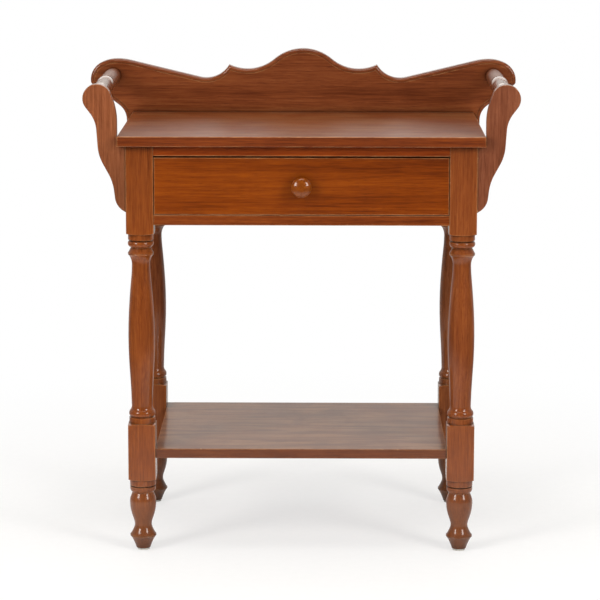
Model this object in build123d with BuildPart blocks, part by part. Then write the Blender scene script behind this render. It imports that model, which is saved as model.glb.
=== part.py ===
from build123d import *
import os
from math import atan2, cos, degrees, radians, sin, sqrt, tan

os.makedirs("parts", exist_ok=True)

# Washstand-form sewing table: four turned legs, one drawer, a low shelf,
# a scalloped back board with wings and a towel bar at each side.
# Millimetres. +Z is up, the drawer faces -Y, X runs along the front.
# The origin is on the floor under the middle of the bounding box.

# ---------------------------------------------------------------- sizes
leg_square = 48.0                # side of a leg's square blocks
legs_width = 610.0               # over the outer faces of the legs
legs_depth = 394.0               # over the front and back faces of the legs
table_height = 742.5             # floor to the upper face of the top
glide_height = 3.0

top_thickness = 18.0
top_side_overhang = 13.5
top_front_overhang = 15.0

rail_thickness = 17.5
rail_inset = 4.0                 # a rail is this much shallower than a leg
rail_setback = 1.5               # front of the rails behind the leg faces
drawer_opening_height = 103.5
apron_thickness = 19.0
apron_setback = 2.0

tenon_length = 18.0
tenon_thickness = 8.0
tenon_shoulder = 2.5             # from the edge of a rail to its tenon
fit_gap = 0.15                   # clearance round tenons, dowels and screws

drawer_front_thickness = 20.0
drawer_wall = 12.0
drawer_depth = 350.0
drawer_side_gap = 0.7
drawer_top_gap = 2.7
drawer_bottom_gap = 0.9
drawer_side_drop = 10.0          # sides and back are lower than the front
drawer_run_gap = 0.3             # under the drawer sides
drawer_panel = 5.0
drawer_panel_rise = 10.0         # underside of the panel above the side's edge
drawer_groove = 5.0
tail_length = 13.0
tail_count = 3

runner_width = 20.0
guide_rise = 20.0
stop_block = (30.0, 16.0, 6.0)
stop_offset = 120.0

board_thickness = 19.0
board_drop = 84.5                # foot of the board below the top
crest_rise = 118.0               # crest above the upper face of the top
moulding_width = 7.5
moulding_step = 1.5
moulding_round = 5.0
waist_overhang = 25.5            # the waist under a wing, outside the leg
crest_radius = 83.0
dip_radius = 78.0
dip_x = 104.0
cusp_x = 138.0
hollow_radius = 50.0
hollow_x = 181.0
wing_slope = 13.5                # degrees
wing_shoulder = 17.0             # where a wing stops being straight, outside the leg
wing_top_radius = 107.0
shoulder_radius = 67.8
shoulder_turn = 26.5             # degrees
wing_end_radius = 36.0
underside_slope = 38.0           # degrees
waist_round = 34.0
tip_round = 6.0
skirt_drop = 34.5                # the board narrows to the legs from here down

bracket_thickness = 19.0
bracket_setback = 3.0
bracket_drop = 116.5             # lowest point of a bracket below the top
head_offset = 48.5               # round head of a bracket, outside the leg
head_rise = 63.5                 # and above the upper face of the top
head_radius = 24.9
bracket_gap = 1.2                # beside the edge of the top

bar_offset = 49.0                # axis of a towel bar, outside the leg
bar_rise = 68.5                  # and above the upper face of the top
bar_swell = 15.0
bar_end_radius = 12.6
bar_bead_radius = 16.0
bar_groove_depth = 3.4
bar_tenon_radius = 6.0
bar_tenon_length = 10.0

shelf_top = 187.0
lower_block_drop = 58.0          # foot of a leg's lower block below the shelf
lower_block_rise = 44.0          # its head above the shelf
upper_block_length = 156.3
shelf_thickness = 17.0
shelf_setback = 4.0
shelf_end_gap = 0.2

knob_radius = 17.7
knob_length = 27.0
knob_neck = 7.5

dowel_radius = 4.0
dowel_length = 36.0
short_dowel = 13.0               # how far the lower dowel goes into a bracket
screw_radius = 2.0
screw_head_radius = 4.2
screw_head_height = 2.6
glide_radius = 11.0

# -------------------------------------------------------------- derived
rear_extent = legs_depth + board_thickness
front_extent = knob_length - rail_setback
y_front = -(rear_extent - front_extent) / 2    # front faces of the legs
y_back = y_front + legs_depth                  # back faces of the legs
half_width = legs_width / 2
inner_half = half_width - leg_square           # inner faces of the legs
leg_x = half_width - leg_square / 2
lower_block = (shelf_top - lower_block_drop, shelf_top + lower_block_rise)
front_leg_y = y_front + leg_square / 2
rear_leg_y = y_back - leg_square / 2
case_top = table_height - top_thickness        # underside of the top
upper_block_foot = case_top - upper_block_length
top_half = half_width + top_side_overhang
upper_rail_bottom = case_top - rail_thickness
lower_rail_top = upper_rail_bottom - drawer_opening_height
lower_rail_bottom = lower_rail_top - rail_thickness
rail_front = y_front + rail_setback
rail_back = rail_front + leg_square - rail_inset
rear_apron_front = y_back - apron_thickness
apron_centre_x = half_width - apron_setback - apron_thickness / 2
apron_inner_x = half_width - apron_setback - apron_thickness
tenon_low = lower_rail_top + 7.0
tenon_high = upper_rail_bottom - 7.0
bracket_y = y_front + bracket_setback
bar_front = bracket_y + bracket_thickness
drawer_half = inner_half - drawer_side_gap
drawer_low = lower_rail_top + drawer_bottom_gap
drawer_high = upper_rail_bottom - drawer_top_gap
side_low = lower_rail_top + drawer_run_gap
side_high = drawer_high - drawer_side_drop
drawer_inner_y = rail_front + drawer_front_thickness
drawer_rear = rail_front + drawer_depth
panel_low = side_low + drawer_panel_rise
knob_z = (drawer_low + drawer_high) / 2
board_bottom = case_top - board_drop
skirt_top = case_top - skirt_drop
crest_height = table_height + crest_rise
waist_reach = half_width + waist_overhang
bracket_foot = case_top - bracket_drop
head_centre = (half_width + head_offset, table_height + head_rise)
bar_x = half_width + bar_offset
bar_height = table_height + bar_rise
low_dowel = case_top - 84.5
high_dowel = case_top - 26.5
board_screw_heights = (case_top - 62.5, case_top - 12.5)
leg_screw_x = leg_x + 7.0
shelf_mid = shelf_top - shelf_thickness / 2
hole = dowel_radius + fit_gap
screw_hole = screw_radius + fit_gap


# -------------------------------------------------------------- helpers
def save(builder, name):
    builder.part.label = name
    export_step(builder.part, "parts/" + name + ".step")


def block(x0, x1, y0, y1, z0, z1, mode=Mode.ADD):
    """A box between two x, two y and two z values, in the open builder."""
    centre = ((x0 + x1) / 2, (y0 + y1) / 2, (z0 + z1) / 2)
    with Locations(centre):
        Box(abs(x1 - x0), abs(y1 - y0), abs(z1 - z0), mode=mode)


def rod(x, y, z, direction, radius, length, mode=Mode.ADD):
    """A cylinder that starts at a point and runs along a direction."""
    with Locations(Plane(origin=(x, y, z), z_dir=direction)):
        Cylinder(radius, length, align=(Align.CENTER, Align.CENTER, Align.MIN), mode=mode)


def ease(edges, size):
    """Breaks sharp edges by a small round."""
    fillet(edges, radius=size)


# ------------------------------------------------------------------ legs
# A leg is turned from a square blank: every turned part stays inside it,
# and where the envelope is wider than the blank the square is left.
block_envelope = leg_square * 0.72      # just wider than the blank's corners
pommel = leg_square * 0.52


def turned(points, low):
    """Radii are written for a 48 mm blank, heights from a chosen level."""
    return [(radius * leg_square / 48.0, low + height) for radius, height in points]


def foot_outline():
    """From the glide up to the lower block."""
    low = glide_height
    top = lower_block[0]
    sole = turned([(0, 0), (11.8, 0), (13.0, 2.2), (17.6, 13.4), (23.2, 22.4), (23.2, 24.6)], low)
    Line(sole[0], sole[1])
    RadiusArc(sole[1], sole[2], -2.0)
    Spline(sole[2], sole[3], sole[4], tangents=[(0.35, 1), (0.9, 1)])
    RadiusArc(sole[4], sole[5], 1.3)
    vase = turned([(18.6, 32.0), (15.2, 40.6), (18.5, 57.0), (22.4, 72.5), (23.4, 84.0)], low)
    neck = turned([(19.0, -25.0), (19.0, -23.6), (22.8, -17.2), (22.8, -13.6)], top)
    Spline(sole[5], *vase, neck[0], tangents=[(-1, 0.9), (-0.4, 1)])
    Line(neck[0], neck[1])
    Spline(neck[1], neck[2], tangents=[(1, 0.55), (0.1, 1)])
    Line(neck[2], neck[3])
    collar = turned([(20.9, -12.6), (20.9, -11.8), (23.1, -10.8), (23.1, 0)], top)
    Polyline(neck[3], *collar)
    Line(collar[3], (pommel, top))


def middle_outline():
    """From the lower block up to the upper one."""
    low = lower_block[1]
    top = upper_block_foot
    collar = turned([(23.1, 0), (22.9, 10.0), (20.9, 11.2), (20.9, 12.4), (22.6, 13.6)], low)
    Polyline((pommel, low), *collar)
    ring = turned([(23.2, 17.8), (20.4, 23.6), (19.1, 26.2), (18.4, 30.0)], low)
    ThreePointArc(collar[4], ring[0], ring[1])
    ThreePointArc(ring[1], ring[2], ring[3])
    tall = top - low
    body = [(19.8, 0.204), (22.3, 0.332), (23.3, 0.46), (21.4, 0.62), (17.6, 0.757), (15.9, 0.839)]
    vase = turned([(radius, share * tall) for radius, share in body], low)
    Spline(ring[3], *vase, tangents=[(0.02, 1), (0, 1)])
    cup = turned([(17.6, -44.2), (22.8, -36.4), (22.8, -33.8), (17.4, -24.6), (17.4, -23.6)], top)
    Spline(vase[5], cup[0], cup[1], tangents=[(0, 1), (1, 0.75)])
    RadiusArc(cup[1], cup[2], 1.6)
    Spline(cup[2], cup[3], tangents=[(-1, 1.1), (-0.9, 1)])
    Line(cup[3], cup[4])
    bead = turned([(22.7, -17.4), (21.4, -13.0), (19.6, -12.4), (19.6, -10.8), (22.2, -10.2)], top)
    ThreePointArc(cup[4], bead[0], bead[1])
    Polyline(bead[1], bead[2], bead[3], bead[4], (bead[4][0], top), (pommel, top))


def turned_outline():
    """Half outline of a leg, radius against height."""
    foot_outline()
    for z_low, z_high in (lower_block, (upper_block_foot, None)):
        Spline((pommel, z_low), (block_envelope, z_low + 5.0), tangents=[(1, 0.25), (0.25, 1)])
        if z_high:
            Line((block_envelope, z_low + 5.0), (block_envelope, z_high - 5.0))
            Spline((block_envelope, z_high - 5.0), (pommel, z_high), tangents=[(-0.25, 1), (-1, 0.25)])
            middle_outline()
    Line((block_envelope, upper_block_foot + 5.0), (block_envelope, case_top))
    Polyline((block_envelope, case_top), (0, case_top), (0, glide_height))


def build_leg(side, rear, name):
    """One leg: side is -1 on the left and 1 on the right."""
    x = side * leg_x
    y = rear_leg_y if rear else front_leg_y
    inner = side * inner_half
    inward = (side, 0, 0)
    with BuildPart() as leg:
        with BuildSketch(Plane(origin=(x, y, 0), x_dir=(1, 0, 0), z_dir=(0, -1, 0))):
            with BuildLine():
                turned_outline()
            make_face()
        revolve(axis=Axis((x, y, 0), (0, 0, 1)))
        with BuildSketch(Plane.XY):
            with Locations((x, y)):
                RectangleRounded(leg_square, leg_square, 1.2)
        extrude(amount=case_top, mode=Mode.INTERSECT)

        # mortise for the side apron
        tall = (tenon_low - fit_gap, tenon_high + fit_gap)
        thin = tenon_thickness / 2 + fit_gap
        face = y_back - leg_square if rear else y_front + leg_square
        floor = face + tenon_length + 1 if rear else face - tenon_length - 1
        x_apron = side * apron_centre_x
        block(x_apron - thin, x_apron + thin, face, floor, *tall, mode=Mode.SUBTRACT)

        # mortises for what runs between the legs along the front or back
        deep = inner + side * (tenon_length + 1)
        if rear:
            mid = y_back - apron_thickness / 2
            block(inner, deep, mid - thin, mid + thin, *tall, mode=Mode.SUBTRACT)
        else:
            ends = (rail_front + 6 - fit_gap, rail_back - 6 + fit_gap)
            for low in (lower_rail_bottom, upper_rail_bottom):
                z0 = low + tenon_shoulder - fit_gap
                z1 = low + rail_thickness - tenon_shoulder + fit_gap
                block(inner, deep, *ends, z0, z1, mode=Mode.SUBTRACT)

        # dowel hole for the shelf, and holes for a bracket or the back board
        rod(inner, y, shelf_mid, inward, hole, dowel_length / 2 + 1, mode=Mode.SUBTRACT)
        if rear:
            for z in board_screw_heights:
                rod(side * leg_screw_x, y_back, z, (0, -1, 0), screw_hole, 16, mode=Mode.SUBTRACT)
        else:
            y_dowel = bracket_y + bracket_thickness / 2
            for z in (low_dowel, high_dowel):
                x_dowel = side * half_width
                deep = dowel_length / 2 + 1
                rod(x_dowel, y_dowel, z, (-side, 0, 0), hole, deep, mode=Mode.SUBTRACT)
        # pilot hole of the glide's nail
        rod(x, y, glide_height, (0, 0, 1), screw_hole, 16, mode=Mode.SUBTRACT)
    save(leg, name)


build_leg(-1, False, "front_left_leg")
build_leg(1, False, "front_right_leg")
build_leg(-1, True, "rear_left_leg")
build_leg(1, True, "rear_right_leg")

# ----------------------------------------------------------------- glides
with BuildPart() as foot_glides:
    for x in (-leg_x, leg_x):
        for y in (front_leg_y, rear_leg_y):
            rod(x, y, 0, (0, 0, 1), glide_radius, glide_height)
            rod(x, y, glide_height, (0, 0, 1), screw_radius, 14)
save(foot_glides, "foot_glides")


# -------------------------------------------------- rails between the legs
def build_rail(low, name, screwed):
    """A flat rail across the front, tenoned into both front legs."""
    with BuildPart() as rail:
        high = low + rail_thickness
        block(-inner_half, inner_half, rail_front, rail_back, low, high)
        reach = inner_half + tenon_length
        inset = tenon_shoulder
        block(-reach, reach, rail_front + 6, rail_back - 6, low + inset, high - inset)
        if screwed:
            for x in (-160, 160):
                y = rail_back - 14
                rod(x, y, low, (0, 0, 1), screw_hole, rail_thickness, mode=Mode.SUBTRACT)
                depth = screw_head_height + 1
                rod(x, y, low, (0, 0, 1), screw_head_radius + 0.4, depth, mode=Mode.SUBTRACT)
    save(rail, name)


build_rail(upper_rail_bottom, "upper_front_rail", True)
build_rail(lower_rail_bottom, "lower_front_rail", False)

# ----------------------------------------------------------------- aprons
apron_front = y_front + leg_square
apron_back = y_back - leg_square
for side, name in ((-1, "left_apron"), (1, "right_apron")):
    with BuildPart() as apron:
        x = side * apron_centre_x
        half = apron_thickness / 2
        thin = tenon_thickness / 2
        block(x - half, x + half, apron_front, apron_back, lower_rail_bottom, case_top)
        y0 = apron_front - tenon_length
        y1 = apron_back + tenon_length
        block(x - thin, x + thin, y0, y1, tenon_low, tenon_high)
    save(apron, name)

with BuildPart() as rear_apron:
    block(-inner_half, inner_half, rear_apron_front, y_back, lower_rail_bottom, case_top)
    reach = inner_half + tenon_length
    middle = y_back - apron_thickness / 2
    thin = tenon_thickness / 2
    block(-reach, reach, middle - thin, middle + thin, tenon_low, tenon_high)
    for x in (-110, 110):
        for z in board_screw_heights:
            rod(x, y_back, z, (0, -1, 0), screw_hole, 15, mode=Mode.SUBTRACT)
save(rear_apron, "rear_apron")

# ------------------------------------------------- what carries the drawer
runner_inner = inner_half - runner_width
kicker_screws = (apron_front + 60, apron_back - 60)
for side, word in ((-1, "left"), (1, "right")):
    a = side * runner_inner
    b = side * inner_half
    c = side * apron_inner_x
    with BuildPart() as runner:
        block(a, b, rail_back, rear_apron_front, lower_rail_bottom, lower_rail_top)
    save(runner, word + "_runner")
    with BuildPart() as guide:
        block(b, c, apron_front, apron_back, lower_rail_bottom, lower_rail_top + guide_rise)
    save(guide, word + "_guide")
    with BuildPart() as kicker:
        block(a, b, rail_back, rear_apron_front, upper_rail_bottom, case_top)
        for y in kicker_screws:
            x = (a + b) / 2
            z = upper_rail_bottom
            rod(x, y, z, (0, 0, 1), screw_hole, rail_thickness, mode=Mode.SUBTRACT)
            depth = screw_head_height + 1
            rod(x, y, z, (0, 0, 1), screw_head_radius + 0.4, depth, mode=Mode.SUBTRACT)
    save(kicker, word + "_kicker")

with BuildPart() as drawer_stops:
    for x in (-stop_offset, stop_offset):
        long, deep, tall = stop_block
        y = drawer_inner_y
        z = lower_rail_top
        block(x - long / 2, x + long / 2, y, y + deep, z, z + tall)
save(drawer_stops, "drawer_stops")

# -------------------------------------------------------------- table top
with BuildPart() as table_top:
    block(-top_half, top_half, y_front - top_front_overhang, y_back, case_top, table_height)
    front_and_sides = table_top.edges().filter_by(Plane.XY).filter_by(
        lambda e: e.center().Y < y_back - 1
    )
    ease(front_and_sides, 1.2)
    for x in (-160, 160):
        rod(x, rail_back - 14, case_top, (0, 0, 1), screw_hole, 12, mode=Mode.SUBTRACT)
    for side in (-1, 1):
        for y in kicker_screws:
            x = side * (runner_inner + inner_half) / 2
            rod(x, y, case_top, (0, 0, 1), screw_hole, 12, mode=Mode.SUBTRACT)
save(table_top, "table_top")

# ------------------------------------------------- screws that hold the top
with BuildPart() as top_screws:
    spots = [(-160, rail_back - 14), (160, rail_back - 14)]
    for side in (-1, 1):
        for y in kicker_screws:
            spots.append((side * (runner_inner + inner_half) / 2, y))
    for x, y in spots:
        rod(x, y, upper_rail_bottom + 1, (0, 0, 1), screw_head_radius, screw_head_height)
        rod(x, y, upper_rail_bottom + 1, (0, 0, 1), screw_radius, rail_thickness + 9)
        with Locations((x, y, upper_rail_bottom + 1.4)):
            Box(screw_head_radius * 1.7, 0.9, 0.8, mode=Mode.SUBTRACT)
save(top_screws, "top_screws")


# ------------------------------------------------------------- back board
def on_circle(centre, radius, angle):
    return (centre[0] + radius * cos(radians(angle)), centre[1] + radius * sin(radians(angle)))


# centres of the arcs of the right half, worked out from one another
crest_centre = (0.0, crest_height - crest_radius)
both = crest_radius + dip_radius
dip_centre = (dip_x, crest_centre[1] + sqrt(both**2 - dip_x**2))
cusp = (cusp_x, dip_centre[1] - sqrt(dip_radius**2 - (cusp_x - dip_x) ** 2))
hollow_centre = (hollow_x, cusp[1] + sqrt(hollow_radius**2 - (hollow_x - cusp_x) ** 2))
wing_start = on_circle(hollow_centre, hollow_radius, wing_slope - 90)
wing_run = (half_width + wing_shoulder - wing_start[0]) / cos(radians(wing_slope))
wing_end = on_circle(wing_start, wing_run, wing_slope)
top_centre = on_circle(wing_end, wing_top_radius, wing_slope - 90)
wing_top = on_circle(top_centre, wing_top_radius, 90)
shoulder_centre = on_circle(wing_top, shoulder_radius, -90)
shoulder_end = 90 - shoulder_turn
end_centre = on_circle(shoulder_centre, shoulder_radius - wing_end_radius, shoulder_end)
wing_tip = on_circle(end_centre, wing_end_radius, -10)
waist_drop = (wing_tip[0] - waist_reach) * tan(radians(underside_slope))
waist_corner = (waist_reach, wing_tip[1] - waist_drop)


def board_arc(side, centre, radius, first, last):
    """An arc between two angles, mirrored for the left half."""
    ends = (first, (first + last) / 2, last)
    points = [on_circle(centre, radius, angle) for angle in ends]
    ThreePointArc(*[(side * x, z) for x, z in points])


def wing_outline(side):
    """Outline of one half of the board from the crest round to the foot."""
    crest_angle = degrees(atan2(dip_centre[1] - crest_centre[1], dip_x))
    board_arc(side, crest_centre, crest_radius, 90, crest_angle)
    cusp_angle = degrees(atan2(cusp[1] - dip_centre[1], cusp[0] - dip_x))
    board_arc(side, dip_centre, dip_radius, crest_angle - 180, cusp_angle)
    start = degrees(atan2(cusp[1] - hollow_centre[1], cusp[0] - hollow_x))
    board_arc(side, hollow_centre, hollow_radius, start, wing_slope - 90)
    Line((side * wing_start[0], wing_start[1]), (side * wing_end[0], wing_end[1]))
    board_arc(side, top_centre, wing_top_radius, 90 + wing_slope, 90)
    board_arc(side, shoulder_centre, shoulder_radius, 90, shoulder_end)
    board_arc(side, end_centre, wing_end_radius, shoulder_end, -10)
    Line((side * wing_tip[0], wing_tip[1]), (side * waist_reach, waist_corner[1]))
    Line((side * waist_reach, waist_corner[1]), (side * waist_reach, skirt_top))
    wide = waist_reach - half_width
    tall = skirt_top - board_bottom
    bend = (wide**2 + tall**2) / (4 * wide)
    turn = degrees(atan2(tall / 2, bend - wide / 2))
    board_arc(side, (waist_reach - bend, skirt_top), bend, 0, -turn)
    board_arc(side, (half_width + bend, board_bottom), bend, 180 - turn, 180)
    Line((side * half_width, board_bottom), (0, board_bottom))


board_plane = Plane(origin=(0, y_back, 0), x_dir=(1, 0, 0), z_dir=(0, -1, 0))
with BuildPart() as back_board:
    with BuildSketch(board_plane.offset(-moulding_step)) as outline:
        with BuildLine():
            wing_outline(1)
            wing_outline(-1)
        make_face()
        for side in (-1, 1):
            tip = Vector(side * wing_tip[0], wing_tip[1])
            fillet(outline.vertices().sort_by_distance(tip)[0], tip_round)
            waist = Vector(side * waist_corner[0], waist_corner[1])
            fillet(outline.vertices().sort_by_distance(waist)[0], waist_round)
    extrude(amount=-(board_thickness - moulding_step))
    rim = back_board.faces().sort_by(Axis.Y)[0].edges()
    ease(rim.filter_by(lambda e: e.center().Z > board_bottom + 1), moulding_round)
    with BuildSketch(board_plane.offset(-moulding_step)):
        add(outline.sketch_local)
        offset(amount=-moulding_width, kind=Kind.INTERSECTION, mode=Mode.REPLACE)
    extrude(amount=moulding_step)
    for side in (-1, 1):
        rod(
            side * bar_x, y_back, bar_height, (0, 1, 0),
            bar_tenon_radius + fit_gap, bar_tenon_length + 1, mode=Mode.SUBTRACT,
        )
    for x in (-leg_screw_x, -110, 110, leg_screw_x):
        for z in board_screw_heights:
            start = y_back + board_thickness
            rod(x, start, z, (0, -1, 0), screw_hole, board_thickness, mode=Mode.SUBTRACT)
            wide = screw_head_radius + 0.3
            rod(x, start, z, (0, -1, 0), wide, screw_head_height, mode=Mode.SUBTRACT)
save(back_board, "back_board")

with BuildPart() as back_screws:
    for x in (-leg_screw_x, -110, 110, leg_screw_x):
        for z in board_screw_heights:
            start = y_back + board_thickness
            rod(x, start, z, (0, -1, 0), screw_head_radius, screw_head_height)
            rod(x, start, z, (0, -1, 0), screw_radius, board_thickness + 13)
            with Locations((x, start - 0.4, z)):
                Box(screw_head_radius * 1.7, 0.8, 0.9, mode=Mode.SUBTRACT)
save(back_screws, "back_screws")


# --------------------------------------------------------------- brackets
head_lean = 19.0                 # degrees, slope of the inner edge at the head
head_back = 36.5                 # degrees, slope of the outer edge at the head
bracket_edge = top_half + bracket_gap
head_inner = on_circle(head_centre, head_radius, 180 - head_lean)
head_outer = on_circle(head_centre, head_radius, -head_back)
inner_fall = (head_inner[0] - bracket_edge) / tan(radians(head_lean))
inner_bend = (bracket_edge, head_inner[1] - inner_fall)
# corners of the S curve outside the leg, and the radius of the bend at each
bracket_bends = [
    ((half_width + 51.0, case_top + 43.5), 53.0),
    ((half_width + 46.8, case_top - 17.5), 76.0),
    ((half_width + 22.2, case_top - 62.8), 82.0),
    ((half_width + 16.8, bracket_foot + 10.0), 31.0),
]


def bracket_outline(side):
    """An S curve that rises from the leg to a round head beside the bar."""
    corners = [head_outer] + [point for point, _ in bracket_bends]
    corners += [(half_width, bracket_foot), (half_width, case_top), (bracket_edge, case_top)]
    corners += [inner_bend, head_inner]
    Polyline(*[(side * x, z) for x, z in corners])
    crown = on_circle(head_centre, head_radius, (180 - head_lean - head_back) / 2)
    points = (head_inner, crown, head_outer)
    ThreePointArc(*[(side * x, z) for x, z in points])


for side, word in ((-1, "left"), (1, "right")):
    plane = Plane(origin=(0, bracket_y, 0), x_dir=(1, 0, 0), z_dir=(0, -1, 0))
    with BuildPart() as bracket:
        with BuildSketch(plane) as outline:
            with BuildLine():
                bracket_outline(side)
            make_face()
            for (x, z), bend in bracket_bends + [(inner_bend, 120.0)]:
                corner = Vector(side * x, z)
                fillet(outline.vertices().sort_by_distance(corner)[0], bend)
        extrude(amount=-bracket_thickness)
        rims = bracket.edges().filter_by(Plane.XZ)
        rims = rims.filter_by(lambda e: abs(e.center().X) > half_width + 0.1)
        rims = rims.filter_by(lambda e: e.center().Z > bracket_foot)
        curved = rims.filter_by(lambda e: e.geom_type != GeomType.LINE)
        high = rims.filter_by(lambda e: e.center().Z > case_top + 1)
        ease(list(set(curved) | set(high)), 1.0)
        y_mid = bracket_y + bracket_thickness / 2
        for z, deep in ((low_dowel, short_dowel + 1), (high_dowel, dowel_length / 2 + 1)):
            rod(side * half_width, y_mid, z, (side, 0, 0), hole, deep, mode=Mode.SUBTRACT)
        rod(
            side * bar_x, bar_front, bar_height, (0, -1, 0),
            bar_tenon_radius + fit_gap, bar_tenon_length + 1, mode=Mode.SUBTRACT,
        )
    save(bracket, word + "_bracket")

with BuildPart() as bracket_dowels:
    for side in (-1, 1):
        for z, out in ((low_dowel, short_dowel), (high_dowel, dowel_length / 2)):
            inside = side * (half_width - dowel_length / 2)
            y_mid = bracket_y + bracket_thickness / 2
            rod(inside, y_mid, z, (side, 0, 0), dowel_radius, dowel_length / 2 + out)
save(bracket_dowels, "bracket_dowels")

# ------------------------------------------------------------- towel bars
bar_length = y_back - bar_front
bead_half = 20.0                 # half the length of the bead in the middle
groove_half = 2.5
bar_shoulder = bar_swell - 0.8    # radius beside a groove
bead_foot = bar_bead_radius - 2.2


def bar_half(end, turn):
    """From one end of a bar to the foot of its bead; turn is 1 or -1."""
    centre = bar_length / 2
    edge = centre - turn * bead_half
    groove = edge - turn * groove_half
    shoulder = groove - turn * groove_half
    quarter = (end + centre) / 2
    pin = end - turn * bar_tenon_length
    Line((0, pin), (bar_tenon_radius, pin))
    Line((bar_tenon_radius, pin), (bar_tenon_radius, end))
    Line((bar_tenon_radius, end), (bar_end_radius, end))
    rise = [(0.1, turn), (-0.02, turn)]
    Spline((bar_end_radius, end), (bar_swell, quarter), (bar_shoulder, shoulder), tangents=rise)
    bottom = (bar_shoulder - bar_groove_depth, groove)
    ThreePointArc((bar_shoulder, shoulder), bottom, (bead_foot, edge))


for side, word in ((-1, "left"), (1, "right")):
    plane = Plane(origin=(side * bar_x, bar_front, bar_height), x_dir=(1, 0, 0), z_dir=(0, 0, 1))
    with BuildPart() as towel_bar:
        with BuildSketch(plane):
            with BuildLine():
                bar_half(0, 1)
                bar_half(bar_length, -1)
                middle = bar_length / 2
                ends = [(bead_foot, middle - bead_half), (bead_foot, middle + bead_half)]
                ThreePointArc(ends[0], (bar_bead_radius, middle), ends[1])
                Line((0, -bar_tenon_length), (0, bar_length + bar_tenon_length))
            make_face()
        revolve(axis=Axis((side * bar_x, 0, bar_height), (0, 1, 0)))
    save(towel_bar, word + "_towel_bar")

# ------------------------------------------------------------------ shelf
with BuildPart() as lower_shelf:
    half = inner_half - shelf_end_gap
    block(-half, half, y_front + shelf_setback, y_back, shelf_top - shelf_thickness, shelf_top)
    ease(lower_shelf.edges().filter_by(Axis.X), 1.0)
    for side in (-1, 1):
        for y in (front_leg_y, rear_leg_y):
            start = side * half
            rod(start, y, shelf_mid, (-side, 0, 0), hole, dowel_length / 2 + 1, mode=Mode.SUBTRACT)
save(lower_shelf, "lower_shelf")

with BuildPart() as shelf_dowels:
    for side in (-1, 1):
        for y in (front_leg_y, rear_leg_y):
            start = side * (inner_half - dowel_length / 2)
            rod(start, y, shelf_mid, (side, 0, 0), dowel_radius, dowel_length)
save(shelf_dowels, "shelf_dowels")


# ----------------------------------------------------------------- drawer
tail_pitch = (side_high - side_low) / tail_count


def tail_corners(n, grow):
    """Corners, in y and z, of one dovetail between a drawer side and the front."""
    z = side_low + tail_pitch * (n + 0.5)
    narrow = tail_pitch * 0.28 + grow
    wide = tail_pitch * 0.38 + grow
    tip = drawer_inner_y - tail_length - grow
    return [
        (drawer_inner_y, z - narrow),
        (tip, z - wide),
        (tip, z + wide),
        (drawer_inner_y, z + narrow),
    ]


with BuildPart() as drawer_front:
    block(-drawer_half, drawer_half, rail_front, drawer_inner_y, drawer_low, drawer_high)
    face_edges = drawer_front.faces().sort_by(Axis.Y)[0].edges()
    ease(face_edges, 1.2)
    for x in (-drawer_half - fit_gap, drawer_half - drawer_wall - fit_gap):
        with BuildSketch(Plane.YZ.offset(x)):
            for n in range(tail_count):
                with BuildLine():
                    Polyline(*tail_corners(n, fit_gap), close=True)
                make_face()
        extrude(amount=drawer_wall + 2 * fit_gap, mode=Mode.SUBTRACT)
    groove = drawer_half - drawer_wall + drawer_groove
    block(
        -groove, groove, drawer_inner_y - drawer_groove, drawer_inner_y,
        panel_low - fit_gap, panel_low + drawer_panel + fit_gap, mode=Mode.SUBTRACT,
    )
    deep = drawer_front_thickness
    rod(0, drawer_inner_y, knob_z, (0, -1, 0), screw_hole, deep, mode=Mode.SUBTRACT)
save(drawer_front, "drawer_front")

for side, word in ((-1, "left"), (1, "right")):
    with BuildPart() as drawer_side:
        a = side * drawer_half
        b = side * (drawer_half - drawer_wall)
        block(a, b, drawer_inner_y, drawer_rear, side_low, side_high)
        with BuildSketch(Plane.YZ.offset(min(a, b))):
            for n in range(tail_count):
                with BuildLine():
                    Polyline(*tail_corners(n, 0), close=True)
                make_face()
        extrude(amount=drawer_wall)
        c = side * (drawer_half - drawer_wall + drawer_groove)
        block(
            b, c, drawer_inner_y - tail_length, drawer_rear,
            panel_low - fit_gap, panel_low + drawer_panel + fit_gap, mode=Mode.SUBTRACT,
        )
        # housing for the drawer back
        block(
            b, side * (drawer_half - drawer_wall / 2), drawer_rear - 20 - fit_gap,
            drawer_rear - 20 + drawer_wall + fit_gap,
            panel_low + drawer_panel + fit_gap, side_high, mode=Mode.SUBTRACT,
        )
    save(drawer_side, "drawer_" + word + "_side")

with BuildPart() as drawer_back:
    reach = drawer_half - drawer_wall / 2 - fit_gap
    low = panel_low + drawer_panel + 2 * fit_gap
    block(-reach, reach, drawer_rear - 20, drawer_rear - 20 + drawer_wall, low, side_high - 3)
save(drawer_back, "drawer_back")

with BuildPart() as drawer_bottom:
    reach = drawer_half - drawer_wall + drawer_groove - 3 * fit_gap
    front = drawer_inner_y - drawer_groove + 3 * fit_gap
    block(-reach, reach, front, drawer_rear, panel_low, panel_low + drawer_panel)
save(drawer_bottom, "drawer_bottom")

# ------------------------------------------------------------------- knob
with BuildPart() as drawer_knob:
    plane = Plane(origin=(0, rail_front, knob_z), x_dir=(1, 0, 0), z_dir=(0, 0, 1))
    with BuildSketch(plane):
        with BuildLine():
            long = knob_length
            Line((0, 0), (10.0, 0))
            ThreePointArc((10.0, 0), (10.8, -1.4), (9.6, -2.8))
            Spline(
                (9.6, -2.8), (knob_neck, -8.0), (13.2, -12.4), (knob_radius, -17.2),
                tangents=[(-1, -0.8), (0.15, -1)],
            )
            Spline(
                (knob_radius, -17.2), (15.6, -22.4), (8.8, -long + 0.9), (0, -long),
                tangents=[(-0.1, -1), (-1, 0)],
            )
            Line((0, -long), (0, 0))
        make_face()
    revolve(axis=Axis((0, 0, knob_z), (0, 1, 0)))
    rod(0, rail_front, knob_z, (0, -1, 0), screw_hole, 15, mode=Mode.SUBTRACT)
save(drawer_knob, "drawer_knob")

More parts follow.
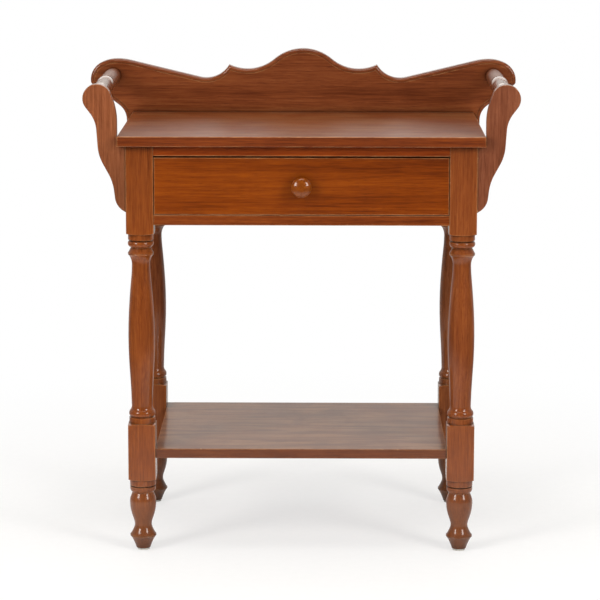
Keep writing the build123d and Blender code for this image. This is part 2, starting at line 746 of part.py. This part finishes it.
with BuildPart() as knob_screw:
    rod(0, drawer_inner_y, knob_z, (0, 1, 0), screw_head_radius, screw_head_height)
    rod(0, drawer_inner_y, knob_z, (0, -1, 0), screw_radius, drawer_front_thickness + 13)
    with Locations((0, drawer_inner_y + screw_head_height - 0.4, knob_z)):
        Box(screw_head_radius * 1.7, 0.8, 0.9, mode=Mode.SUBTRACT)
save(knob_screw, "knob_screw")
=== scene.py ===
import bpy
from math import radians
from mathutils import Euler, Matrix, Vector


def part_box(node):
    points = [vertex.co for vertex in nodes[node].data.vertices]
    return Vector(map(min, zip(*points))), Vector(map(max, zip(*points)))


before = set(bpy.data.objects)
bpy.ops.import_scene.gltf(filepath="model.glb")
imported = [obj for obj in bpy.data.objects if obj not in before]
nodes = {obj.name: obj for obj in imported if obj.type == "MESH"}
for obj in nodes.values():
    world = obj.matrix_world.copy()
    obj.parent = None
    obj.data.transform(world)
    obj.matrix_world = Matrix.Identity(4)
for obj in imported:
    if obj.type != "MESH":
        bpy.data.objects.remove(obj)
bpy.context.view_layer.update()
scene = bpy.context.scene


# ------------------------------------------------------------ node helper
class Net:
    """Adds shader nodes one after another and links them."""

    def __init__(self, tree):
        self.tree = tree

    def add(self, kind, inputs=None, **settings):
        node = self.tree.nodes.new("ShaderNode" + kind)
        for key, value in settings.items():
            setattr(node, key, value)
        for key, value in (inputs or {}).items():
            socket = node.inputs[key]
            if isinstance(value, bpy.types.NodeSocket):
                self.tree.links.new(value, socket)
            else:
                socket.default_value = value
        return node

    def math(self, operation, a, b=0.0, clamp=False):
        node = self.add("Math", {0: a, 1: b}, operation=operation, use_clamp=clamp)
        return node.outputs[0]

    def noise(self, coords, scale, detail=3.0, rough=0.5, warp=0.0, seed=0.0):
        values = {
            "Vector": coords, "Scale": scale, "Detail": detail,
            "Roughness": rough, "Distortion": warp, "W": seed,
        }
        return self.add("TexNoise", values, noise_dimensions="4D").outputs["Fac"]

    def ramp(self, value, stops):
        node = self.add("ValToRGB", {"Fac": value})
        line = node.color_ramp
        while len(line.elements) < len(stops):
            line.elements.new(0.5)
        for element, (place, colour) in zip(line.elements, stops):
            element.position = place
            element.color = (*colour, 1.0)
        return node.outputs["Color"]

    def step(self, value, low, high, to_low=0.0, to_high=1.0):
        """Rises smoothly from to_low to to_high while the value goes from low to high."""
        values = {
            "Value": value, "From Min": low, "From Max": high, "To Min": to_low, "To Max": to_high,
        }
        return self.add("MapRange", values, interpolation_type="SMOOTHSTEP").outputs["Result"]

    def axis(self, vector, letter):
        return self.add("SeparateXYZ", {"Vector": vector}).outputs[letter]

    def mix(self, factor, a, b, blend="MIX"):
        node = self.add("Mix", data_type="RGBA", blend_type=blend)
        for socket, value in ((node.inputs[0], factor), (node.inputs[6], a), (node.inputs[7], b)):
            if isinstance(value, bpy.types.NodeSocket):
                self.tree.links.new(value, socket)
            elif isinstance(value, (tuple, list)):
                socket.default_value = (*value, 1.0)[:4]
            else:
                socket.default_value = value
        return node.outputs[2]


def new_material(name):
    material = bpy.data.materials.new(name)
    material.use_nodes = True
    tree = material.node_tree
    tree.nodes.clear()
    net = Net(tree)
    shader = net.add("BsdfPrincipled")
    net.add("OutputMaterial", {"Surface": shader.outputs[0]})
    return material, net, shader


def grain_space(net, axis, along, across, seed):
    """Object coordinates, stretched along the grain."""
    coords = net.add("TexCoord").outputs["Object"]
    scale = [across, across, across]
    scale["XYZ".index(axis)] = along
    shift = (seed * 0.37, seed * 0.53, seed * 0.71)
    return net.add("Mapping", {"Vector": coords, "Scale": scale, "Location": shift}).outputs[0]


# --------------------------------------------------------------- the woods
bruise_colour = (0.40, 0.16, 0.055)     # stain gone at a bruise
film_colour = (0.40, 0.20, 0.085)       # scratched, dulled varnish
round_edge_wear_and_highlight_colour = (0.40, 0.17, 0.06)      # round edges rubbed through, partly a painted edge highlight
straight_edge_wear_and_highlight_colour = (0.42, 0.20, 0.085)       # straight edges rubbed through, partly a painted edge highlight
chip_colour = (0.62, 0.36, 0.17)        # bare wood at a chip
dust_colour = (0.165, 0.080, 0.042)     # on the feet


def near_edges(net, coords, box, width):
    """1 along the straight edges of a box, fading to 0 a width away from them."""
    low, high = box
    spot = net.add("SeparateXYZ", {"Vector": coords})
    close = []
    for count, letter in enumerate("XYZ"):
        middle = (low[count] + high[count]) / 2
        half = (high[count] - low[count]) / 2
        away = net.math("ABSOLUTE", net.math("SUBTRACT", spot.outputs[letter], middle))
        close.append(net.step(away, half - width, half - width * 0.35))
    pairs = [net.math("MULTIPLY", close[a], close[b]) for a, b in ((0, 1), (1, 2), (0, 2))]
    return net.math("MAXIMUM", net.math("MAXIMUM", pairs[0], pairs[1]), pairs[2])


def stain_colour(net, axis, mid, seed, streaks):
    """Streaks, fibres and pores along the grain; also returns what the bump needs."""
    dark = tuple(c * k for c, k in zip(mid, (0.52, 0.45, 0.42)))
    light = tuple(c * k for c, k in zip(mid, (1.42, 1.62, 1.75)))
    plain = net.add("TexCoord").outputs["Object"]
    broad = net.noise(grain_space(net, axis, 0.8, 26.0, seed), 1.0, 5.0, 0.62, 0.2, seed)
    fine = net.noise(grain_space(net, axis, 5.0, 210.0, seed + 3), 1.0, 4.0, 0.65, 0.15, seed)
    fibre = net.noise(grain_space(net, axis, 20.0, 520.0, seed), 1.0, 4.0, 0.65, 0.3, seed)
    hair = net.noise(grain_space(net, axis, 45.0, 1500.0, seed), 1.0, 2.0, 0.5, 0.0, seed + 1)
    blotch = net.noise(plain, 6.0, 3.0, 0.5, 0.4, seed + 5)

    value = 0.5
    shares = ((broad, 0.62 * streaks), (fine, 0.72 * streaks), (fibre, 0.44), (hair, 0.26), (blotch, 0.26))
    for noise, share in shares:
        offset = net.math("MULTIPLY", net.math("SUBTRACT", noise, 0.5), share * 1.5)
        value = net.math("ADD", value, offset)
    colour = net.ramp(value, [(0.26, dark), (0.5, mid), (0.74, light)])

    # open pores, short dark dashes along the grain
    pores = net.noise(grain_space(net, axis, 70.0, 1900.0, seed + 7), 1.0, 1.0, 0.5, 0.0, seed)
    where = net.step(broad, 0.35, 0.6, 0.25, 0.85)
    pore = net.math("MULTIPLY", net.step(pores, 0.60, 0.70), where)
    colour = net.mix(net.math("MULTIPLY", pore, 0.55), colour, tuple(c * 0.35 for c in dark))

    # a few bruises and specks, light where the stain is gone
    spots = net.noise(plain, 62.0, 2.0, 0.5, 0.0, seed + 11)
    speck = net.step(spots, 0.775, 0.80)
    colour = net.mix(net.math("MULTIPLY", speck, 0.45), colour, bruise_colour)
    return colour, fibre, pore, speck


def add_haze(net, colour, axis, seed, haze):
    """Fine scratches and dull patches on the faces that things are put down on."""
    plain = net.add("TexCoord").outputs["Object"]
    normal = net.add("NewGeometry").outputs["Normal"]
    up = net.step(net.axis(normal, "Z"), 0.6, 0.95)
    scratched = net.noise(grain_space(net, axis, 5.0, 60.0, seed + 19), 1.0, 5.0, 0.7, 0.6, seed)
    patch = net.noise(plain, 5.5, 4.0, 0.6, 0.8, seed + 21)
    scratched = net.step(scratched, 0.36, 0.66, 0.15, 1.1)
    patch = net.step(patch, 0.36, 0.62, 0.35, 1.1)
    film = net.math("MULTIPLY", net.math("MULTIPLY", scratched, patch), up)
    return net.mix(net.math("MULTIPLY", film, haze, clamp=True), colour, film_colour)


def add_edge_wear_and_highlight(net, colour, box, edge_width, seed, wear_and_highlight, upper):
    """Edges rubbed through to lighter wood, partly a painted edge highlight, with a few chips."""
    plain = net.add("TexCoord").outputs["Object"]
    # rounded edges: lighter colour, partly rubbed-through wood, partly a painted edge highlight
    round_normal = net.add("Bevel", {"Radius": 0.0026}, samples=6).outputs[0]
    flat_normal = net.add("NewGeometry").outputs["Normal"]
    facing = net.add("VectorMath", {0: round_normal, 1: flat_normal}, operation="DOT_PRODUCT")
    edge = net.step(facing.outputs["Value"], 0.995, 0.93)
    patchy = net.step(net.noise(plain, 30.0, 4.0, 0.65, 0.5, seed + 13), 0.36, 0.62)
    worn_and_highlight_round = net.math("MULTIPLY", net.math("MULTIPLY", edge, patchy), wear_and_highlight, clamp=True)
    colour = net.mix(worn_and_highlight_round, colour, round_edge_wear_and_highlight_colour)

    # straight edges: lighter colour, partly rubbed-through wood, partly a painted edge highlight
    straight = near_edges(net, plain, box, edge_width)
    # the lower edges lie in shade and are left without wear or painted edge highlight
    if upper:
        middle = (box[0].z + box[1].z) / 2
        above = net.step(net.axis(plain, "Z"), middle, middle + 0.004)
        straight = net.math("MULTIPLY", straight, above)
    ragged = net.step(net.noise(plain, 55.0, 5.0, 0.7, 0.5, seed + 23), 0.38, 0.66, 0.25, 1.0)
    rubbed_and_highlight_straight = net.math("MULTIPLY", net.math("MULTIPLY", straight, ragged), wear_and_highlight * 0.75, clamp=True)
    colour = net.mix(rubbed_and_highlight_straight, colour, straight_edge_wear_and_highlight_colour)
    chipped = net.step(net.noise(plain, 120.0, 3.0, 0.6, 0.3, seed + 29), 0.66, 0.70)
    return net.mix(net.math("MULTIPLY", chipped, straight), colour, chip_colour)


def add_dust_and_painted_shade(net, colour, crease, painted_light_fade):
    """Dust on the feet, colour darker towards the floor, painted shade in the corners and between parts,
    darker fine grooves, and where asked a painted light fade with height.
    """
    level = net.axis(net.add("TexCoord").outputs["Object"], "Z")
    colour = net.mix(net.step(level, 0.06, 0.15, 0.34, 0.0), colour, dust_colour)
    # painted shade: ambient occlusion darkens the colour in corners, around the knob, under the top and
    # between parts
    corner_shade = net.add("AmbientOcclusion", {"Distance": 0.03}, samples=8).outputs["AO"]
    # darker towards the floor
    low = net.step(level, 0.0, 0.16, 0.92, 1.0)
    painted_shade_and_darkening = net.math("MULTIPLY", net.step(corner_shade, 0.15, 0.95, 0.40, 1.0), low)
    # darker in fine grooves, from a tight ambient occlusion
    if crease:
        tight = net.add("AmbientOcclusion", {"Distance": 0.006}, samples=8).outputs["AO"]
        painted_shade_and_darkening = net.math("MULTIPLY", painted_shade_and_darkening, net.step(tight, 0.35, 0.97, 1.0 - crease, 1.0))
    # painted light: the colour is shaded below the lower height and full above the upper one
    if painted_light_fade:
        painted_shade_and_darkening = net.math("MULTIPLY", painted_shade_and_darkening, net.step(level, *painted_light_fade))
    grey = net.add("CombineColor", {"Red": painted_shade_and_darkening, "Green": painted_shade_and_darkening, "Blue": painted_shade_and_darkening}).outputs[0]
    return net.mix(1.0, colour, grey, blend="MULTIPLY")


def stained_wood(name, axis, mid, seed, streaks, box, haze=0.0, wear_and_highlight=0.6, specular=0.12, coat=0.6,
                 edge_width=0.002, upper=False, crease=0.0, painted_light_fade=None, dull_behind=False):
    """Stained and varnished hardwood: streaks, fibres, pores, worn edges that partly carry a painted edge
    highlight, and painted shade in corners.

    upper: only the edges above the middle get wear and painted edge highlight; the lower edges, in shade,
    get none. crease: how much darker fine grooves get.
    painted_light_fade: heights and strengths between which painted shade below gives way to the lit colour
    above.
    dull_behind: the varnish is dull behind the bead of a towel bar.
    """
    material, net, shader = new_material(name)
    colour, fibre, pore, speck = stain_colour(net, axis, mid, seed, streaks)
    if haze:
        colour = add_haze(net, colour, axis, seed, haze)
    colour = add_edge_wear_and_highlight(net, colour, box, edge_width, seed, wear_and_highlight, upper)
    colour = add_dust_and_painted_shade(net, colour, crease, painted_light_fade)

    plain = net.add("TexCoord").outputs["Object"]
    handled = net.noise(plain, 9.0, 4.0, 0.6, 0.6, seed + 17)
    roughness = net.math("ADD", 0.28, net.math("MULTIPLY", handled, 0.16))
    roughness = net.math("ADD", roughness, net.math("MULTIPLY", pore, 0.15), clamp=True)

    ripple = net.noise(plain, 210.0, 2.0, 0.5, 0.0, seed)
    relief = net.math("ADD", net.math("MULTIPLY", fibre, 0.5), net.math("MULTIPLY", ripple, 0.25))
    relief = net.math("SUBTRACT", relief, net.math("MULTIPLY", pore, 0.7))
    relief = net.math("SUBTRACT", relief, net.math("MULTIPLY", speck, 0.8))
    soft = net.add("Bevel", {"Radius": 0.0009}, samples=6).outputs[0]
    bump = net.add("Bump", {"Height": relief, "Strength": 0.22, "Distance": 0.0006, "Normal": soft})

    tree = material.node_tree
    tree.links.new(colour, shader.inputs["Base Color"])
    tree.links.new(roughness, shader.inputs["Roughness"])
    tree.links.new(bump.outputs[0], shader.inputs["Normal"])
    shader.inputs["IOR"].default_value = 1.45
    shader.inputs["Specular IOR Level"].default_value = specular
    shader.inputs["Coat Weight"].default_value = coat
    shader.inputs["Coat Roughness"].default_value = 0.1
    shader.inputs["Coat IOR"].default_value = 1.5
    if dull_behind:
        # the varnish has gone dull behind the bead, where hands don't reach
        bead_end = (box[0].y + box[1].y) / 2 + 0.018
        gloss = net.step(net.axis(plain, "Y"), bead_end, bead_end + 0.006, coat, 0.03)
        tree.links.new(gloss, shader.inputs["Coat Weight"])
    return material


def raw_wood(name, axis, seed):
    """Unfinished secondary wood of the drawer box and the runners."""
    material, net, shader = new_material(name)
    plain = net.add("TexCoord").outputs["Object"]
    broad = net.noise(grain_space(net, axis, 2.0, 34.0, seed), 1.0, 4.0, 0.55, 0.7, seed)
    fibre = net.noise(grain_space(net, axis, 16.0, 520.0, seed), 1.0, 3.0, 0.6, 0.2, seed)
    stain = net.noise(plain, 6.0, 4.0, 0.6, 0.5, seed + 4)
    value = net.math("ADD", net.math("MULTIPLY", broad, 0.6), net.math("MULTIPLY", fibre, 0.4))
    stops = [(0.28, (0.27, 0.15, 0.07)), (0.5, (0.44, 0.28, 0.14)), (0.72, (0.56, 0.39, 0.22))]
    colour = net.ramp(value, stops)
    colour = net.mix(net.step(stain, 0.52, 0.72, 0.0, 0.35), colour, (0.22, 0.13, 0.07))
    soft = net.add("Bevel", {"Radius": 0.0008}, samples=4).outputs[0]
    bump = net.add("Bump", {"Height": fibre, "Strength": 0.35, "Distance": 0.0005, "Normal": soft})
    roughness = net.math("ADD", 0.62, net.math("MULTIPLY", fibre, 0.2))
    tree = material.node_tree
    tree.links.new(colour, shader.inputs["Base Color"])
    tree.links.new(roughness, shader.inputs["Roughness"])
    tree.links.new(bump.outputs[0], shader.inputs["Normal"])
    return material


def screw_steel(name):
    """Dull zinc-plated steel with a little rust in patches."""
    material, net, shader = new_material(name)
    plain = net.add("TexCoord").outputs["Object"]
    patch = net.noise(plain, 420.0, 4.0, 0.6, 0.4, 2.0)
    stops = [(0.35, (0.42, 0.41, 0.39)), (0.6, (0.5, 0.49, 0.47)), (0.75, (0.22, 0.11, 0.05))]
    colour = net.ramp(patch, stops)
    tree = material.node_tree
    tree.links.new(colour, shader.inputs["Base Color"])
    tree.links.new(net.math("ADD", 0.25, net.math("MULTIPLY", patch, 0.4)), shader.inputs["Roughness"])
    bump = net.add("Bump", {"Height": patch, "Strength": 0.2, "Distance": 0.0002})
    tree.links.new(bump.outputs[0], shader.inputs["Normal"])
    shader.inputs["Metallic"].default_value = 0.9
    return material


def pale_plastic(name):
    """Scuffed off-white plastic of the glides."""
    material, net, shader = new_material(name)
    plain = net.add("TexCoord").outputs["Object"]
    scuff = net.noise(plain, 300.0, 4.0, 0.6, 0.3, 5.0)
    stops = [(0.3, (0.42, 0.40, 0.36)), (0.55, (0.60, 0.59, 0.55)), (0.8, (0.68, 0.67, 0.64))]
    colour = net.ramp(scuff, stops)
    tree = material.node_tree
    tree.links.new(colour, shader.inputs["Base Color"])
    tree.links.new(net.math("ADD", 0.35, net.math("MULTIPLY", scuff, 0.25)), shader.inputs["Roughness"])
    bump = net.add("Bump", {"Height": scuff, "Strength": 0.25, "Distance": 0.0003})
    tree.links.new(bump.outputs[0], shader.inputs["Normal"])
    return material


# node: (grain axis, colour of the stain, seed, strength of streaks)
finishes = {
    "table_top": ("X", (0.176, 0.033, 0.003), 1.0, 0.6),
    "back_board": ("X", (0.162, 0.040, 0.011), 2.3, 0.6),
    "drawer_front": ("X", (0.172, 0.031, 0.0008), 3.1, 0.8),
    "drawer_knob": ("Y", (0.176, 0.038, 0.0015), 4.2, 0.4),
    "upper_front_rail": ("X", (0.205, 0.033, 0.002), 5.7, 0.5),
    "lower_front_rail": ("X", (0.163, 0.032, 0.004), 6.1, 0.8),
    "lower_shelf": ("X", (0.126, 0.029, 0.005), 7.9, 0.25),
    "left_apron": ("Y", (0.175, 0.038, 0.008), 8.4, 0.5),
    "right_apron": ("Y", (0.175, 0.038, 0.008), 9.2, 0.5),
    "rear_apron": ("X", (0.175, 0.038, 0.008), 10.6, 0.5),
    # the left bracket's colour is that of its lit head; painted shade darkens its lower part
    "left_bracket": ("Z", (0.232, 0.070, 0.026), 11.3, 0.5),
    "right_bracket": ("Z", (0.180, 0.054, 0.024), 12.8, 0.5),
    "left_towel_bar": ("Y", (0.150, 0.044, 0.016), 13.5, 0.4),
    "right_towel_bar": ("Y", (0.150, 0.044, 0.016), 14.9, 0.4),
    "front_left_leg": ("Z", (0.204, 0.048, 0.0075), 15.2, 0.4),
    "front_right_leg": ("Z", (0.188, 0.045, 0.009), 16.4, 0.4),
    "rear_left_leg": ("Z", (0.158, 0.042, 0.011), 17.6, 0.4),
    "rear_right_leg": ("Z", (0.184, 0.054, 0.016), 18.8, 0.4),
}
# what else differs from the plain finish
special = {
    "table_top": {"haze": 0.42, "wear_and_highlight": 1.1, "specular": 0.3, "upper": True},
    "lower_shelf": {"haze": 0.44, "specular": 0.2, "upper": True},
    "drawer_front": {"wear_and_highlight": 0.8},
    "back_board": {"crease": 0.6},
    "front_left_leg": {"crease": 0.55},
    "front_right_leg": {"crease": 0.55},
    "rear_left_leg": {"crease": 0.55},
    "rear_right_leg": {"crease": 0.55},
    "drawer_knob": {"crease": 0.5, "coat": 0.7},
    # painted light: shade painted on the left bracket's lower part, its head left lit
    "left_bracket": {"painted_light_fade": (0.62, 0.80, 0.68, 1.0)},
    "left_towel_bar": {"coat": 0.85, "crease": 0.7, "dull_behind": True},
    "right_towel_bar": {"coat": 0.85, "crease": 0.7, "dull_behind": True},
}
raw = {
    "left_runner": "Y", "right_runner": "Y", "left_guide": "Y", "right_guide": "Y",
    "left_kicker": "Y", "right_kicker": "Y", "drawer_stops": "X", "drawer_left_side": "Y",
    "drawer_right_side": "Y", "drawer_back": "X", "drawer_bottom": "X",
    "bracket_dowels": "X", "shelf_dowels": "X",
}


def dress(name, material):
    mesh = nodes[name].data
    mesh.materials.clear()
    mesh.materials.append(material)
    for polygon in mesh.polygons:
        polygon.material_index = 0


for name, (axis, mid, seed, streaks) in finishes.items():
    extra = special.get(name, {})
    dress(name, stained_wood(name + "_wood", axis, mid, seed, streaks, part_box(name), **extra))
for count, (name, axis) in enumerate(raw.items()):
    dress(name, raw_wood(name + "_wood", axis, 30.0 + count * 1.7))
steel = screw_steel("screw_steel")
for name in ("top_screws", "back_screws", "knob_screw"):
    dress(name, steel)
dress("foot_glides", pale_plastic("glide_plastic"))


# ------------------------------------------------------------------ stage
def make_floor():
    mesh = bpy.data.meshes.new("floor")
    size = 30.0
    corners = [(-size, -size, 0), (size, -size, 0), (size, size, 0), (-size, size, 0)]
    mesh.from_pydata(corners, [], [(0, 1, 2, 3)])
    floor = bpy.data.objects.new("floor", mesh)
    scene.collection.objects.link(floor)
    material = bpy.data.materials.new("floor_white")
    material.use_nodes = True
    tree = material.node_tree
    tree.nodes.clear()
    net = Net(tree)
    coords = net.add("TexCoord").outputs["Object"]
    reach = net.add("VectorMath", {0: coords}, operation="LENGTH").outputs["Value"]
    speckle = net.noise(coords, 60.0, 2.0)
    tint = net.ramp(speckle, [(0.3, (0.86, 0.86, 0.855)), (0.7, (0.9, 0.9, 0.895))])
    paper = net.add("BsdfDiffuse", {"Color": tint}).outputs[0]
    page = net.add("Emission", {"Color": (1, 1, 1, 1), "Strength": 1.0}).outputs[0]
    back = net.step(net.axis(coords, "Y"), 0.6, 1.6, 0.03, 0.5)
    dusk = net.add("Emission", {"Color": (1, 0.95, 0.88, 1), "Strength": back}).outputs[0]
    rays = net.add("LightPath")
    # the eye sees white paper with a faint shadow near the feet
    far = net.step(reach, 0.35, 1.5, 0.62, 1.0)
    seen = net.add("MixShader", {0: far, 1: paper, 2: page}).outputs[0]
    # the varnish sees a sheet of paper that ends in a dark room, bright behind
    edge = net.step(reach, 0.75, 1.7)
    mirrored = net.add("MixShader", {0: edge, 1: paper, 2: dusk}).outputs[0]
    glossy = rays.outputs["Is Glossy Ray"]
    other = net.add("MixShader", {0: glossy, 1: paper, 2: mirrored}).outputs[0]
    blend = net.add("MixShader", {0: rays.outputs["Is Camera Ray"], 1: other, 2: seen})
    net.add("OutputMaterial", {"Surface": blend.outputs[0]})
    mesh.materials.append(material)


def make_world():
    """White all round for the eye; for the surfaces, bright behind and dim in front."""
    world = bpy.data.worlds.new("studio")
    scene.world = world
    world.use_nodes = True
    tree = world.node_tree
    tree.nodes.clear()
    net = Net(tree)
    direction = net.add("TexCoord").outputs["Generated"]
    behind = net.step(net.axis(direction, "Y"), -0.55, 0.5, 0.012, 0.58)
    above = net.step(net.axis(direction, "Z"), 0.25, 0.9, 1.0, 0.75)
    gleam = net.math("MULTIPLY", behind, above)
    mirror = net.add("Background", {"Color": (1.0, 0.95, 0.885, 1), "Strength": gleam})
    soft = net.step(net.axis(direction, "Y"), -0.9, 0.6, 0.24, 0.60)
    room = net.add("Background", {"Color": (1.0, 0.98, 0.95, 1), "Strength": soft})
    page = net.add("Background", {"Color": (1, 1, 1, 1), "Strength": 1.0})
    rays = net.add("LightPath")
    glossy = rays.outputs["Is Glossy Ray"]
    eye = rays.outputs["Is Camera Ray"]
    other = net.add("MixShader", {0: glossy, 1: room.outputs[0], 2: mirror.outputs[0]})
    blend = net.add("MixShader", {0: eye, 1: other.outputs[0], 2: page.outputs[0]})
    net.add("OutputWorld", {"Surface": blend.outputs[0]})


def make_softbox(name, place, target, width, height, power, tint=(1.0, 0.97, 0.93)):
    light = bpy.data.lights.new(name, "AREA")
    light.shape = "RECTANGLE"
    light.size = width
    light.size_y = height
    light.energy = power
    light.color = tint
    lamp = bpy.data.objects.new(name, light)
    lamp.location = place
    lamp.rotation_euler = (Vector(target) - Vector(place)).to_track_quat("-Z", "Y").to_euler()
    scene.collection.objects.link(lamp)


make_floor()
make_world()
make_softbox("left_softbox", (-2.4, -2.5, 1.95), (0, 0, 0.45), 1.0, 1.5, 76)
make_softbox("right_softbox", (2.4, -2.5, 1.95), (0, 0, 0.45), 1.0, 1.5, 70)
make_softbox("top_softbox", (0, -0.6, 3.0), (0, 0, 0.4), 1.6, 1.2, 26)
make_softbox("rear_card", (0, 2.4, 1.85), (0, 0, 0.95), 3.4, 1.4, 19)

# ----------------------------------------------------------------- camera
camera_data = bpy.data.cameras.new("camera")
camera_data.sensor_width = 36.0
camera_data.lens = 162.0
camera_data.clip_start = 0.1
camera_data.clip_end = 100.0
camera = bpy.data.objects.new("camera", camera_data)
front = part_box("front_left_leg")[0].y
distance = 4.6409
tilt = 0.1746           # down from the horizontal, radians
swing = 0.0081
roll = 0.0011
camera.location = (0.0354, front - distance, 1.2735)
turn = Euler((radians(90) - tilt, 0.0, swing), "XYZ").to_matrix()
camera.rotation_euler = (turn @ Matrix.Rotation(roll, 3, "Z")).to_euler()
scene.collection.objects.link(camera)
scene.camera = camera

scene.view_settings.view_transform = "Standard"
scene.view_settings.look = "None"
scene.view_settings.exposure = 0.0
scene.view_settings.gamma = 1.0
